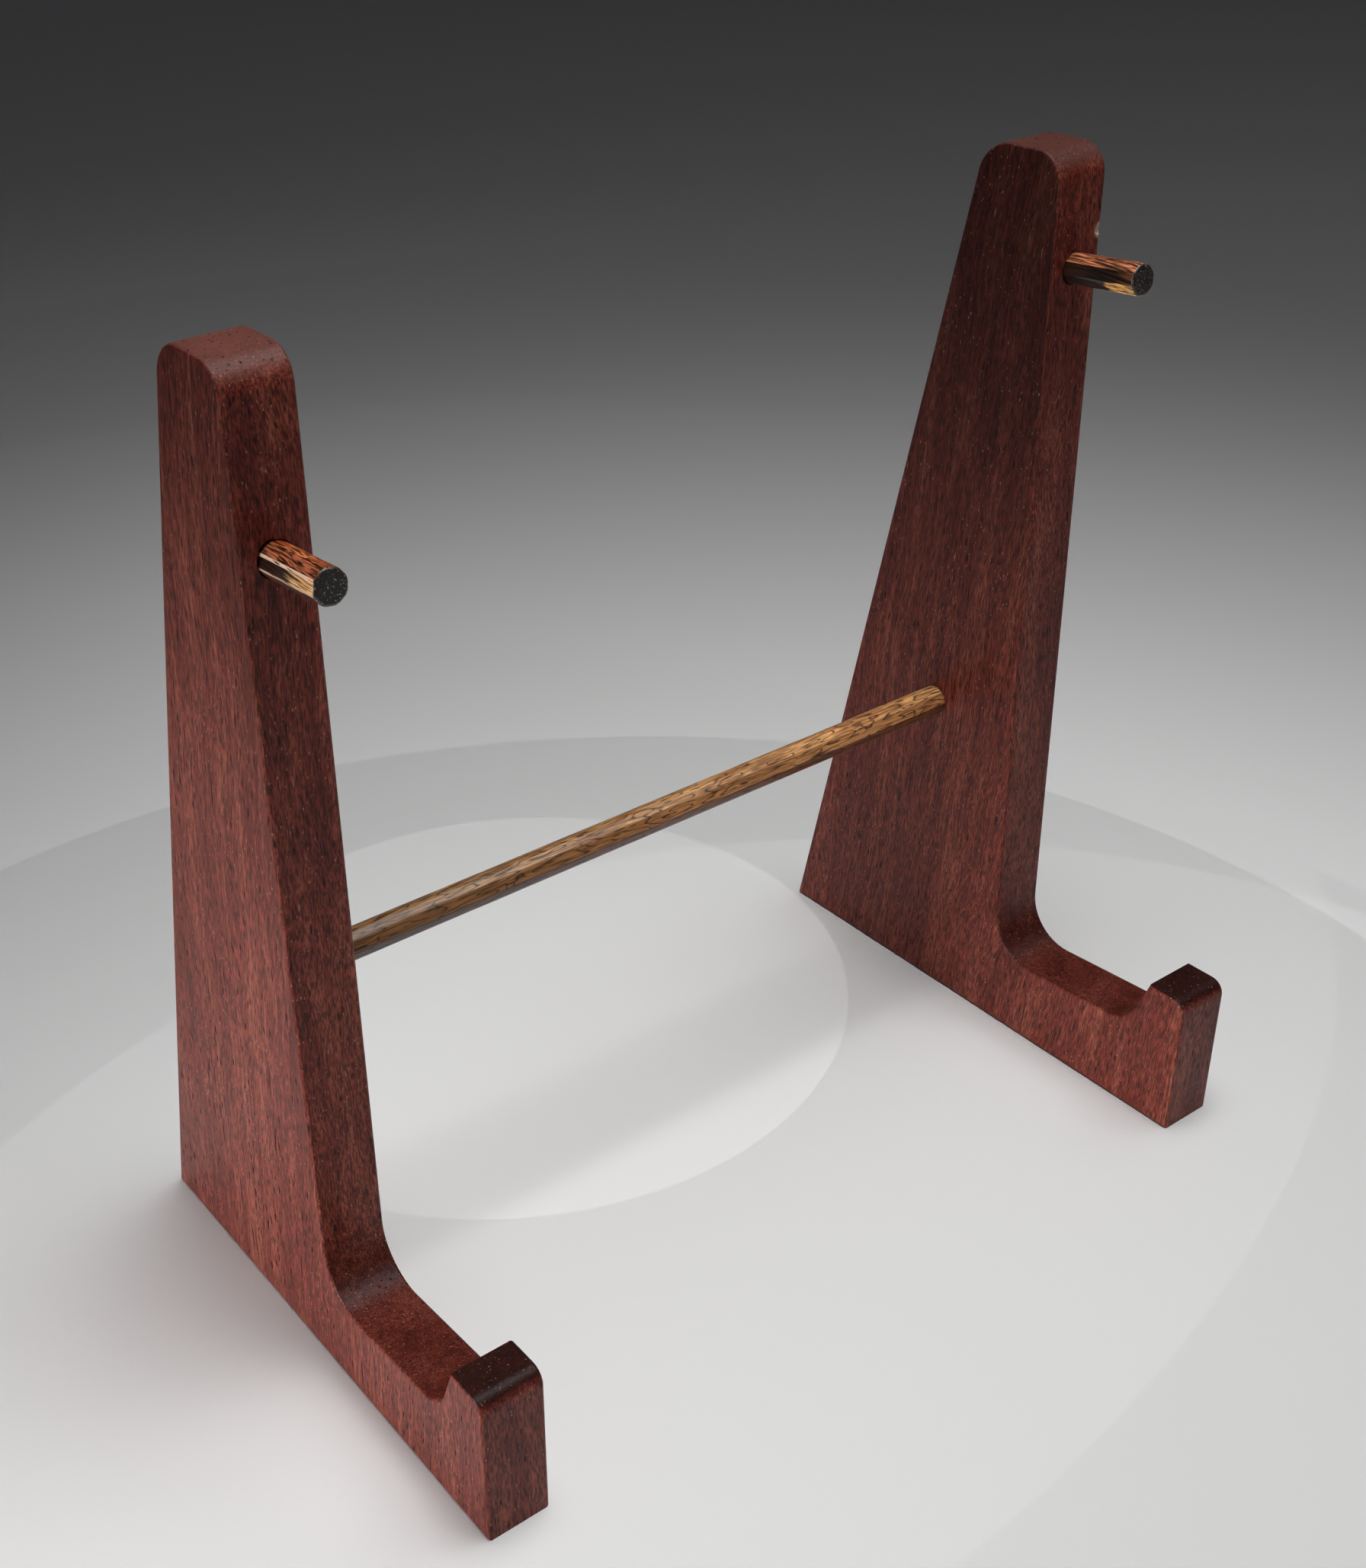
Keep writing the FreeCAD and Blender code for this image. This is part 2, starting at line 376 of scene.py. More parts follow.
    # holes for the peg and the bar
    inward = 1 if side == "left" else -1
    innerFace = high.x if side == "left" else low.x
    pegMouth = pegExit(side)
    barMouth = Vector((innerFace, heel - rod["barSetback"], rod["barHeight"]))
    pegHole, barHole = rod["radius"] + u["pegHoleGap"], rod["radius"] + u["barHoleGap"]
    drill(board, pegMouth, -pegDirection(), pegHole, u["pegHoleDepth"])
    drill(board, barMouth, Vector((-inward, 0, 0)), barHole, u["barHoleDepth"])
    easeHole(board, pegMouth, pegDirection(), pegHole)
    easeHole(board, barMouth, Vector((inward, 0, 0)), barHole)
    if side == "right":
        chipOut(board, chipPlace(), u["chipSize"])
    else:
        chipOut(board, tearPlace(), u["tearSize"], turn=-u["tearAngle"])

    shadeSmooth(board, u["smoothAngle"])
    rename(board, f"{side}_board")
    return board


# rods

def cornerPlace(corner, turn):
    # where a ridge of the rod runs, seen from its end
    r = rod
    angle = turn + corner * 2 * math.pi / r["flats"]
    reach = r["radius"]
    if corner not in r["crispCorners"]:
        reach = (r["radius"] - r["flatDepth"]) / math.cos(math.pi / r["flats"])
    return Vector((math.cos(angle), math.sin(angle), 0)) * reach


def makeRod(name, start, end, turn, seed, endRim=0.0):
    # a planed round rod; its far end may have a rounded rim
    length = (end - start).length
    deselectAll()
    bpy.ops.mesh.primitive_cylinder_add(vertices=rod["flats"], radius=rod["radius"], depth=length,
                                        location=(0, 0, length / 2), rotation=(0, 0, turn))
    stick = bpy.context.active_object
    applyPlace(stick)
    startEdit(stick)
    cuts = max(1, round(length / rod["whittleStep"]))
    for index in range(1, cuts):
        bpy.ops.mesh.select_all(action="SELECT")
        bpy.ops.mesh.bisect(plane_co=(0, 0, length * index / cuts), plane_no=(0, 0, 1))
    chance = random.Random(seed)
    near, onRidge = 0.02 * mm, 0.9999
    for corner in range(rod["flats"]):
        ridge = cornerPlace(corner, turn)
        across = ridge.normalized() * rod["radius"]
        for index in range(cuts + 1):
            level = Vector((0, 0, length * index / cuts))
            pick(stick, "VERT", lambda v: (v.co - across - level).length < near)
            shift(*(ridge - across - ridge.normalized() * chance.uniform(0, rod["uneven"])))

    def alongCorners(crisp):
        chosen = [cornerPlace(corner, turn).normalized() for corner in range(rod["flats"])
                  if (corner in rod["crispCorners"]) == crisp]

        def test(edge):
            middle = midpoint(edge)
            out = Vector((middle.x, middle.y, 0)).normalized()
            lengthwise = abs(edgeWay(edge).z) > roughlyAlong
            return lengthwise and any(out.dot(way) > onRidge for way in chosen)
        return test

    pick(stick, "EDGE", alongCorners(crisp=False))
    bevelPicked(rod["softRidge"], rod["softSegments"])
    pick(stick, "EDGE", alongCorners(crisp=True))
    bevelPicked(rod["crispRidge"], rod["crispSegments"])
    if endRim:
        pick(stick, "EDGE", lambda e: all(abs(v.co.z - length) < near for v in e.verts))
        bevelPicked(endRim, rod["rimSegments"])
    endEdit()
    stick.rotation_euler = (end - start).to_track_quat("Z", "Y").to_euler()
    stick.location = start
    applyPlace(stick)
    shadeSmooth(stick, rod["smoothAngle"])
    rename(stick, name)
    return stick


def makePeg(side):
    mouth, direction = pegExit(side), pegDirection()
    return makeRod(f"{side}_dowel", mouth - direction * rod["pegSunk"],
                   mouth + direction * rod["pegReach"],
                   rod["pegTurn"], rod["seeds"][side], endRim=rod["pegRim"])


def makeBar():
    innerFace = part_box("left_upright")[1].x
    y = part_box("left_upright")[1].y - rod["barSetback"]
    start = Vector((innerFace - rod["barSunk"], y, rod["barHeight"]))
    end = Vector((-start.x, y, rod["barHeight"]))
    return makeRod("tie_bar", start, end, rod["barTurn"], rod["seeds"]["bar"])


boards = {side: makeUpright(side) for side in sides}
print("uprights made")
pegs = {side: makePeg(side) for side in sides}
bar = makeBar()
print("rods made")


# materials

def addNode(tree, kind, inputs=None, **settings):
    made = tree.nodes.new(kind)
    for name, value in settings.items():
        setattr(made, name, value)
    for name, value in (inputs or {}).items():
        if isinstance(value, bpy.types.NodeSocket):
            tree.links.new(value, made.inputs[name])
        else:
            made.inputs[name].default_value = value
    return made


def compute(tree, operation, *values):
    # a Math node on sockets or plain numbers
    return addNode(tree, "ShaderNodeMath", dict(enumerate(values)), operation=operation).outputs[0]


def times(tree, first, second):
    return compute(tree, "MULTIPLY", first, second)


def vectorMath(tree, operation, first, second):
    return addNode(tree, "ShaderNodeVectorMath", {0: first, 1: second}, operation=operation)


def fade(tree, value, fromMin, fromMax, toMin=0.0, toMax=1.0):
    made = addNode(tree, "ShaderNodeMapRange",
                   {"Value": value, "From Min": fromMin, "From Max": fromMax,
                    "To Min": toMin, "To Max": toMax},
                   interpolation_type="SMOOTHSTEP")
    return made.outputs["Result"]


def blendColor(tree, factor, first, second):
    made = addNode(tree, "ShaderNodeMix", data_type="RGBA", clamp_factor=True)
    for index, value in ((0, factor), (6, first), (7, second)):
        if isinstance(value, bpy.types.NodeSocket):
            tree.links.new(value, made.inputs[index])
        elif index == 0:
            made.inputs[index].default_value = value
        else:
            made.inputs[index].default_value = (*value, 1)
    return made.outputs[2]


def scaleColor(tree, color, factor):
    made = addNode(tree, "ShaderNodeVectorMath", {0: color, "Scale": factor}, operation="SCALE")
    return made.outputs[0]


def toneWhere(tree, color, mask, tone):
    # brighter or darker by the tone where the mask is 1
    return scaleColor(tree, color, fade(tree, mask, 0.0, 1.0, 1.0, tone))


def squeeze(tree, vector, across, along):
    # stretches a pattern along the grain, which is the vector's Z
    scale = addNode(tree, "ShaderNodeCombineXYZ", {"X": across, "Y": across, "Z": along})
    return vectorMath(tree, "MULTIPLY", vector, scale.outputs[0]).outputs["Vector"]


def newGroup(name, inputs, output):
    tree = bpy.data.node_groups.new(name, "ShaderNodeTree")
    for label, default in inputs.items():
        kind = "NodeSocketVector" if default is None else "NodeSocketFloat"
        socket = tree.interface.new_socket(name=label, in_out="INPUT", socket_type=kind)
        if default is not None:
            socket.default_value = default
    tree.interface.new_socket(name=output, in_out="OUTPUT", socket_type="NodeSocketFloat")
    return tree, tree.nodes.new("NodeGroupInput"), tree.nodes.new("NodeGroupOutput")


poreShape = {
    "leastSize": 0.55,               # of the width that a material gives
    "sizeSpread": 0.9,
    "core": 0.45,                    # how far out a pore is fully dark
    "leastDepth": 0.4,
    "depthSpread": 0.6,
}


def makePoresGroup():
    # vessels of the wood: long dashes along the grain, dots on the end grain
    tree, given, result = newGroup(
        "openPores", {"Vector": None, "Spacing": 0.9, "Stretch": 7.0, "Width": 0.4}, "Pores")
    across = compute(tree, "DIVIDE", 1.0, given.outputs["Spacing"])
    along = compute(tree, "DIVIDE", across, given.outputs["Stretch"])
    place = squeeze(tree, given.outputs["Vector"], across, along)
    cells = addNode(tree, "ShaderNodeTexVoronoi", {"Vector": place, "Scale": 1.0},
                    voronoi_dimensions="3D", feature="F1")
    chance = addNode(tree, "ShaderNodeSeparateColor", {"Color": cells.outputs["Color"]})
    half = times(tree, times(tree, given.outputs["Width"], 0.5), across)
    size = compute(tree, "MULTIPLY_ADD", chance.outputs["Red"], poreShape["sizeSpread"],
                   poreShape["leastSize"])
    radius = times(tree, half, size)
    inside = fade(tree, cells.outputs["Distance"], times(tree, radius, poreShape["core"]),
                  radius, 1.0, 0.0)
    depth = compute(tree, "MULTIPLY_ADD", chance.outputs["Green"], poreShape["depthSpread"],
                    poreShape["leastDepth"])
    tree.links.new(times(tree, inside, depth), result.inputs["Pores"])
    return tree


def makeFibreGroup():
    # fine streaks along the grain
    tree, given, result = newGroup(
        "fibres", {"Vector": None, "Width": 0.5, "Stretch": 20.0, "Detail": 3.0}, "Streaks")
    across = compute(tree, "DIVIDE", 1.0, given.outputs["Width"])
    along = compute(tree, "DIVIDE", across, given.outputs["Stretch"])
    noise = addNode(tree, "ShaderNodeTexNoise",
                    {"Vector": squeeze(tree, given.outputs["Vector"], across, along),
                     "Scale": 1.0, "Detail": given.outputs["Detail"], "Roughness": 0.6},
                    noise_dimensions="3D")
    tree.links.new(noise.outputs[0], result.inputs["Streaks"])
    return tree


poresGroup = makePoresGroup()
fibreGroup = makeFibreGroup()


def pattern(tree, group, grain, values):
    # a group laid along a material's grain, with the material's own values
    made = addNode(tree, "ShaderNodeGroup", {"Vector": grain, **values}, node_tree=group)
    return made.outputs[0]


def ownPlace(tree):
    return addNode(tree, "ShaderNodeTexCoord").outputs["Object"]


def splitPlace(tree):
    return addNode(tree, "ShaderNodeSeparateXYZ", {"Vector": ownPlace(tree)}).outputs


def grainSpace(tree, turn, sway, swayLength):
    # object coordinates in millimetres with the grain along Z, bent a little
    perMetre = 1 / mm
    mapped = addNode(tree, "ShaderNodeMapping",
                     {"Vector": ownPlace(tree), "Rotation": turn, "Scale": (perMetre,) * 3})
    bend = addNode(tree, "ShaderNodeTexNoise",
                   {"Vector": mapped.outputs[0], "Scale": 1 / swayLength, "Detail": 1.0})
    centred = vectorMath(tree, "SUBTRACT", bend.outputs["Color"], (0.5, 0.5, 0.5))
    scaled = vectorMath(tree, "MULTIPLY", centred.outputs[0], (sway, sway, 0))
    return vectorMath(tree, "ADD", mapped.outputs[0], scaled.outputs[0]).outputs[0]


def facing(tree, direction, low, high):
    # 1 where the surface faces the direction, in the piece's own space
    normal = addNode(tree, "ShaderNodeTexCoord").outputs["Normal"]
    match = vectorMath(tree, "DOT_PRODUCT", normal, direction)
    return fade(tree, match.outputs["Value"], low, high)


def newMaterial(name):
    material = bpy.data.materials.new(name)
    material.use_nodes = True
    tree = material.node_tree
    return material, tree, tree.nodes["Principled BSDF"]


def finishSurface(tree, shader, wood, color, rough, relief):
    tree.links.new(color, shader.inputs["Base Color"])
    tree.links.new(rough, shader.inputs["Roughness"])
    bump = addNode(tree, "ShaderNodeBump", {"Height": relief, "Strength": wood["bumpStrength"],
                                            "Distance": wood["bumpHeight"]})
    tree.links.new(bump.outputs[0], shader.inputs["Normal"])


redWood = {
    "lean": math.radians(-8),        # the grain's top leans forward
    "sway": 5.0,                     # sizes of the grain are in millimetres
    "swayLength": 45,
    "dark": (0.070, 0.0108, 0.0070),
    "middle": (0.118, 0.0212, 0.0128),
    "light": (0.192, 0.0500, 0.0310),
    "bands": {"Width": 6.0, "Stretch": 12.0, "Detail": 2.0},
    "bandShare": 0.45,
    "streaks": {"Width": 0.9, "Stretch": 20.0, "Detail": 4.0},
    "streakShare": 0.55,
    "darkBelow": 0.36,               # where dark, middle and light stand in the figure
    "middleAt": 0.5,
    "lightAbove": 0.66,
    "fibres": {"Width": 0.24, "Stretch": 9.0, "Detail": 3.0},
    "fibreTones": (0.36, 0.64, 0.42, 1.70),
    "veins": {"Spacing": 5.0, "Stretch": 5.0, "Width": 0.8},
    "veinStrength": 0.45,
    "shortPores": {"Spacing": 0.95, "Stretch": 4.5, "Width": 0.44},
    "longPores": {"Spacing": 1.05, "Stretch": 24.0, "Width": 0.32},
    "pore": (0.012, 0.0035, 0.003),
    "poreStrength": 0.9,
    "flecks": {"Spacing": 0.62, "Stretch": 2.4, "Width": 0.21},
    "scratches": {"Spacing": 2.4, "Stretch": 9.0, "Width": 0.26},
    "fleck": (0.42, 0.20, 0.15),
    "fleckStrength": 0.75,
    "endFacing": (0.30, 0.90),
    "footEnd": 0.66,                 # end grain is darker at the foot; towards the crown it is lighter as painted sheen
    # painted sheen: the crown's end grain is made lighter
    "crownEndSheen": 0.96,
    "endHeights": (50 * mm, 130 * mm),
    # painted shade: the lip's top is made much darker
    "lipEndShade": 0.16,
    "lipStarts": (23.5 * mm, 25.5 * mm),
    "lipStops": (30 * mm, 34 * mm),
    # painted sheen: a pinkish tint on the crown's top
    "crownSheen": (0.145, 0.062, 0.050),
    "crownSheenStrength": 0.55,
    "crownHeights": (140 * mm, 155 * mm),
    "middlePlane": (-1 * mm, 1 * mm),
    "rightCrownShade": 0.66,              # painted shade: the right board is darker on its crown and, high up, on its inner face
    "rightInnerShade": (1.12, 0.42),      # from low down to the crown: painted light low down, painted shade towards the crown
    "innerHeights": (50 * mm, 150 * mm),
    "sideFacing": (0.6, 0.9),
    # painted light: faces towards the front are made lighter
    "frontPaintedLight": 1.08,
    "instepShade": 0.55,              # painted shade: the inside corner of the foot is darker too
    "instepHeights": (18 * mm, 30 * mm),
    "instepDepths": (-14.5 * mm, -7.5 * mm),
    "instepWay": (0, -1, 0.3),
    "instepFacing": (0.35, 0.75),
    "chip": (0.62, 0.44, 0.33),
    "chipStrength": 0.92,
    "chipEdge": (1.4 * mm, 2.0 * mm),
    "chipRagged": 0.8 * mm,
    # painted shade: a dark crescent in the gap beside the left peg
    "tearShadeStrength": 0.97,
    "tearShadeEdge": (1.0, 1.15),         # of the tear's own size
    "roughness": 0.42,
    "poreRoughness": 0.3,
    "specular": 0.18,
    "fibreRelief": 0.25,
    "bumpStrength": 0.55,
    "bumpHeight": 0.12 * mm,
}


def makeRedWood():
    wood = redWood
    lean = wood["lean"]
    material, tree, shader = newMaterial("red_hardwood")
    grain = grainSpace(tree, (lean, 0, 0), wood["sway"], wood["swayLength"])
    place = splitPlace(tree)
    height, depth = place["Z"], place["Y"]

    def fibre(name):
        return pattern(tree, fibreGroup, grain, wood[name])

    def pore(name):
        return pattern(tree, poresGroup, grain, wood[name])

    figure = compute(tree, "ADD", times(tree, fibre("bands"), wood["bandShare"]),
                     times(tree, fibre("streaks"), wood["streakShare"]))
    ramp = addNode(tree, "ShaderNodeValToRGB", {"Fac": figure})
    stops = ramp.color_ramp.elements
    stops[0].position, stops[0].color = wood["darkBelow"], (*wood["dark"], 1)
    stops[1].position, stops[1].color = wood["lightAbove"], (*wood["light"], 1)
    stops.new(wood["middleAt"]).color = (*wood["middle"], 1)
    fibres = fibre("fibres")
    color = scaleColor(tree, ramp.outputs["Color"], fade(tree, fibres, *wood["fibreTones"]))
    color = blendColor(tree, times(tree, pore("veins"), wood["veinStrength"]), color,
                       wood["pore"])

    # end grain: dark at the foot, darkest on the lip as painted shade, lighter at the crown as
    # painted sheen
    endTone = fade(tree, height, *wood["endHeights"], wood["footEnd"], wood["crownEndSheen"])
    # painted shade on the lip's top
    onLip = times(tree, fade(tree, height, *wood["lipStarts"]),
                  fade(tree, height, *wood["lipStops"], 1.0, 0.0))
    endTone = compute(tree, "MULTIPLY_ADD", onLip, wood["lipEndShade"] - wood["footEnd"], endTone)
    endGrain = facing(tree, (0, math.sin(lean), math.cos(lean)), *wood["endFacing"])
    color = scaleColor(tree, color, compute(
        tree, "MULTIPLY_ADD", endGrain, compute(tree, "SUBTRACT", endTone, 1.0), 1.0))
    onCrown = times(tree, endGrain, fade(tree, height, *wood["crownHeights"]))
    # painted sheen: the crown's top is blended towards a pinkish tint
    color = blendColor(tree, times(tree, onCrown, wood["crownSheenStrength"]), color,
                       wood["crownSheen"])

    # painted light and shade on single faces
    onRight = fade(tree, place["X"], *wood["middlePlane"])
    # painted shade: the right board's crown is darker
    color = toneWhere(tree, color, times(tree, onCrown, onRight), wood["rightCrownShade"])
    # painted light low on the right board's inner face, painted shade higher up
    innerShade = fade(tree, height, *wood["innerHeights"], *wood["rightInnerShade"])
    inner = times(tree, onRight, facing(tree, (-1, 0, 0), *wood["sideFacing"]))
    color = scaleColor(tree, color, compute(
        tree, "MULTIPLY_ADD", inner, compute(tree, "SUBTRACT", innerShade, 1.0), 1.0))
    # painted light: faces towards the front are lighter
    color = toneWhere(tree, color, facing(tree, (0, -1, 0), *wood["sideFacing"]),
                      wood["frontPaintedLight"])
    # painted shade in the inside corner of the foot
    instepShadeMask = times(tree, fade(tree, height, *wood["instepHeights"], 1.0, 0.0),
                     times(tree, fade(tree, depth, *wood["instepDepths"]),
                           facing(tree, wood["instepWay"], *wood["instepFacing"])))
    color = toneWhere(tree, color, instepShadeMask, wood["instepShade"])

    flecks = compute(tree, "MAXIMUM", pore("flecks"), pore("scratches"))
    color = blendColor(tree, times(tree, flecks, wood["fleckStrength"]), color, wood["fleck"])
    pores = compute(tree, "MAXIMUM", pore("shortPores"), pore("longPores"))
    color = blendColor(tree, times(tree, pores, wood["poreStrength"]), color, wood["pore"])

    # raw wood in the chip
    fromChip = vectorMath(tree, "DISTANCE", ownPlace(tree), tuple(chipPlace())).outputs["Value"]
    ragged = compute(tree, "MULTIPLY_ADD", fibres, wood["chipRagged"], fromChip)
    color = blendColor(tree, fade(tree, ragged, *wood["chipEdge"], wood["chipStrength"], 0.0),
                       color, wood["chip"])

    # painted shade: a dark crescent in the gap where the grain tore beside the left peg
    tear = addNode(tree, "ShaderNodeMapping",
                   {"Vector": ownPlace(tree), "Location": tuple(tearPlace()),
                    "Rotation": (0, -upright["tearAngle"], 0),
                    "Scale": upright["tearSize"]}, vector_type="TEXTURE")
    fromTearShade = addNode(tree, "ShaderNodeVectorMath", {0: tear.outputs[0]},
                       operation="LENGTH").outputs["Value"]
    color = blendColor(tree, fade(tree, fromTearShade, *wood["tearShadeEdge"], wood["tearShadeStrength"], 0.0),
                       color, wood["pore"])

    shader.inputs["Specular IOR Level"].default_value = wood["specular"]
    rough = compute(tree, "MULTIPLY_ADD", pores, wood["poreRoughness"], wood["roughness"])
    relief = compute(tree, "SUBTRACT", times(tree, fibres, wood["fibreRelief"]), pores)
    finishSurface(tree, shader, wood, color, rough, relief)
    return material


palmWood = {
    "sway": 1.0,
    "swayLength": 12,
    "lines": {"Width": 0.22, "Stretch": 34.0, "Detail": 2.0},
    "lineRange": (0.40, 0.60),
    "patches": {"Width": 1.8, "Stretch": 4.5, "Detail": 2.0},
    "patchRange": (0.42, 0.58),
    "flatFacing": (0.80, 0.90),
    "flatRagged": 4 * mm,            # how unevenly a flat's tone starts
    "bundles": {"Spacing": 0.50, "Stretch": 7.0, "Width": 0.34},
    "bundle": (0.018, 0.007, 0.004),
    "bundleStrength": 0.85,
    "swirls": {"Width": 1.9, "Stretch": 6.0, "Detail": 1.0},
    "swirlCount": 16.0,
    "swirlWidth": 0.35,
    # painted highlight along crisp ridges: which faces get it, and where along the lines
    "glintFacing": (0.962, 0.982),
    "glintLines": (0.36, 0.46),
    "endFacing": (0.35, 0.60),
    "end": (0.014, 0.010, 0.008),
    "specks": {"Spacing": 0.34, "Stretch": 1.0, "Width": 0.21},
    "speck": (0.42, 0.36, 0.30),
    "speckStrength": 0.85,
    "toneEnds": (-75 * mm, 75 * mm),
    "roughness": 0.30,
    "endRoughness": 0.1,
    "glossRoughness": 0.16,
    "lineRelief": 0.6,
    "bumpStrength": 0.5,
    "bumpHeight": 0.06 * mm,
}

palmColors = {
    "orange": (0.44, 0.135, 0.045),
    "rust": (0.26, 0.055, 0.016),
    "russet": (0.21, 0.060, 0.026),
    "gold": (0.80, 0.43, 0.17),
    "brown": (0.13, 0.046, 0.018),
    "black": (0.022, 0.010, 0.006),
    "rose": (0.40, 0.135, 0.062),
    "amber": (0.85, 0.42, 0.10),
    "tan": (0.47, 0.245, 0.095),
    "umber": (0.30, 0.135, 0.050),
    # colour of the painted highlight on the pegs' ridges
    "glintCream": (0.85, 0.58, 0.42),
}


def makePalmWood(name, turn, axis, ground, warm, flats, ridges, along, contrast, gloss,
                 swirl=0.0, endTones=None):
    # flats: (direction, color, from, to) tones single flats from one place along the rod on
    # ridges: directions whose crisp edge gets a painted highlight, a light line along it
    # endTones: how bright the wood is at the left and the right end
    wood = palmWood
    material, tree, shader = newMaterial(name)
    grain = grainSpace(tree, turn, wood["sway"], wood["swayLength"])
    lines = pattern(tree, fibreGroup, grain, wood["lines"])
    patches = pattern(tree, fibreGroup, grain, wood["patches"])
    bundles = pattern(tree, poresGroup, grain, wood["bundles"])
    specks = pattern(tree, poresGroup, grain, wood["specks"])
    color = blendColor(tree, fade(tree, patches, *wood["patchRange"]), warm, ground)
    place = splitPlace(tree)[along]
    for direction, tone, start, stop in flats:
        ragged = compute(tree, "MULTIPLY_ADD", patches, wood["flatRagged"], place)
        mask = times(tree, facing(tree, direction, *wood["flatFacing"]),
                     fade(tree, ragged, start, stop))
        color = blendColor(tree, mask, color, tone)
    color = scaleColor(tree, color, fade(tree, lines, *wood["lineRange"],
                                         1 - contrast, 1 + contrast))
    if swirl:
        level = pattern(tree, fibreGroup, grain, wood["swirls"])
        folded = compute(tree, "PINGPONG", times(tree, level, wood["swirlCount"]), 1.0)
        color = blendColor(tree, fade(tree, folded, 0.0, wood["swirlWidth"], swirl, 0.0), color,
                           wood["bundle"])
    color = blendColor(tree, times(tree, bundles, wood["bundleStrength"]), color,
                       wood["bundle"])
    # painted highlight: light lines along the crisp ridges
    for direction in ridges:
        glint = times(tree, facing(tree, direction, *wood["glintFacing"]),
                       fade(tree, lines, *wood["glintLines"]))
        color = blendColor(tree, glint, color, palmColors["glintCream"])
    if endTones:
        color = scaleColor(tree, color, fade(tree, place, *wood["toneEnds"], *endTones))
    endGrain = facing(tree, axis, *wood["endFacing"])
    end = blendColor(tree, times(tree, specks, wood["speckStrength"]), wood["end"],
                     wood["speck"])
    color = blendColor(tree, endGrain, color, end)

    shader.inputs["Coat Weight"].default_value = gloss
    shader.inputs["Coat Roughness"].default_value = wood["glossRoughness"]
    rough = compute(tree, "MULTIPLY_ADD", endGrain, wood["endRoughness"], wood["roughness"])
    relief = compute(tree, "SUBTRACT", times(tree, lines, wood["lineRelief"]), bundles)
    finishSurface(tree, shader, wood, color, rough, relief)
    return material


def paint(piece, material):
    piece.data.materials.clear()
    piece.data.materials.append(material)


def around(degrees, axis):
    # a direction square to the rod, turned from straight up towards the left or the front
    angle = math.radians(degrees)
    across, up = -math.sin(angle), math.cos(angle)
    return (across, 0, up) if axis == "Y" else (0, across, up)


everywhere = (-1.0, -0.9)            # both are far off the rod

pegLook = {
    "upperFlat": 38,                 # degrees round from straight up
    "outerFlat": 81,
    "lowerFlat": 126,
    # ridges that get a painted highlight
    "glintRidges": (58.5, 103.5),
    "goldFromMouth": 4 * mm,         # along the left peg's outer flat
    "goldFromTip": 6 * mm,
    "brownFromMouth": 8 * mm,        # along the right peg's outer flat
    "brownFromTip": 3 * mm,
    "amberFromTip": (7.8 * mm, 7.2 * mm),
    "contrast": 0.95,
    "gloss": 0.35,
}


def makePegMaterial(side):
    look, tones = pegLook, palmColors
    mouth = pegExit(side).y
    tip = mouth - rod["pegReach"]
    upper, outer, lower = (around(look[flat], "Y")
                           for flat in ("upperFlat", "outerFlat", "lowerFlat"))
    if side == "left":
        ground, warm = tones["orange"], tones["rust"]
        ridges = [around(angle, "Y") for angle in look["glintRidges"]]
        flats = [(upper, tones["russet"], *everywhere),
                 (outer, tones["black"], *everywhere),
                 (outer, tones["gold"], mouth - look["goldFromMouth"],
                  tip + look["goldFromTip"]),
                 (lower, tones["brown"], *everywhere)]
    else:
        ground, warm = tones["rose"], tones["brown"]
        ridges = []
        flats = [(outer, tones["black"], *everywhere),
                 (outer, tones["brown"], mouth - look["brownFromMouth"],
                  tip + look["brownFromTip"]),
                 (lower, tones["black"], *everywhere),
                 (lower, tones["amber"], *(tip + gap for gap in look["amberFromTip"]))]
    return makePalmWood(f"striped_{side}_peg", (math.radians(90), 0, 0), tuple(pegDirection()),
                        ground, warm, flats, ridges, "Y", look["contrast"], look["gloss"])


barLook = {
    "upperFlat": 70,                 # degrees round from straight up
    "lowerFlat": 115,
    "backFlat": -64,
    "contrast": 0.35,
    "gloss": 0.04,
    "swirl": 0.9,
    "endTones": (0.55, 1.85),
}


def makeBarMaterial():
    look, tones = barLook, palmColors
    flats = [(around(look["upperFlat"], "X"), tones["umber"], *everywhere),
             (around(look["lowerFlat"], "X"), tones["brown"], *everywhere),
             (around(look["backFlat"], "X"), tones["brown"], *everywhere)]
    return makePalmWood("striped_bar", (0, math.radians(90), 0), (1, 0, 0), tones["tan"],
                        tones["umber"], flats, [], "X", look["contrast"], look["gloss"],
                        swirl=look["swirl"], endTones=look["endTones"])


redMaterial = makeRedWood()
for side in sides:
    paint(boards[side], redMaterial)
    paint(pegs[side], makePegMaterial(side))
paint(bar, makeBarMaterial())
print("materials made")

for side in sides:
    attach(boards[side], "root")
    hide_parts(f"{side}_upright")
    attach(pegs[side], "root")
    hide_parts(f"{side}_peg")
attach(bar, "root")
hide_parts("crossbar")


# studio

studio = {
    "cameraPlace": (-0.17687, -0.23183, 0.24552),
    "cameraAim": (0.01605, 0.03997, 0.06303),
    "cameraRoll": math.radians(-2.42),
    "sensor": 36,
    "lens": 47.91,
    "cameraShift": (0.0369, -0.0382),
    "nearestSeen": 10 * mm,
    "floorSize": 12.0,
    "floorColor": (0.86, 0.86, 0.855),
    "floorRoughness": 0.9,
    "surround": (0.028, 0.028, 0.030),
    "horizon": (0.030, 0.030, 0.032),
    "backdrop": (0.17, 0.17, 0.18),
    "backdropRise": (0.0, 0.5),
}

